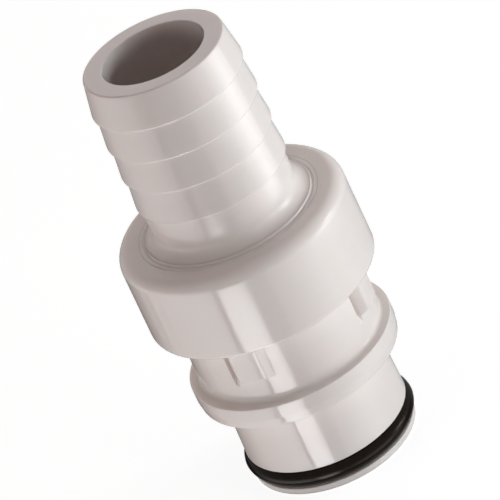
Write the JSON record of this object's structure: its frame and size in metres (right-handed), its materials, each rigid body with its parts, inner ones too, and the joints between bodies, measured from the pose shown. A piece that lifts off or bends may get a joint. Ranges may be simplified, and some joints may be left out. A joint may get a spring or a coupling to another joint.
{
  "type": "male quick disconnect coupling half",
  "caption": "Valved male half of a plastic quick disconnect coupling: sealed round nose, latch groove, grip collar and straight hose barb.",
  "frame": {"origin": "centre of the nose's end face, on the coupling's axis", "axes": "+Z along the axis from the nose to the hose barb, X and Y through the four lugs on the neck"},
  "size_m": [0.033, 0.033, 0.066],
  "materials": {
    "body_plastic": "natural white, slightly translucent, satin gloss as moulded",
    "valve_plastic": "white, as moulded",
    "seal_rubber": "black, smooth, lightly greased",
    "spring_steel": "bright drawn stainless wire"
  },
  "bodies": {
    "insert": {"insert_body": "body_plastic", "hose_barb": "body_plastic", "nose_o_ring": "seal_rubber", "valve_guide": "valve_plastic", "valve_spring": "spring_steel"},
    "poppet": {"valve_poppet": "valve_plastic", "poppet_seal": "seal_rubber"}
  },
  "joints": [
    {"name": "poppet_slide", "type": "slide", "parent": "insert", "child": "poppet", "axis": [0, 0, 1], "range_m": [0, 0.0055], "stiffness_N_per_m": 1100, "deforming": ["valve_spring"]}
  ]
}
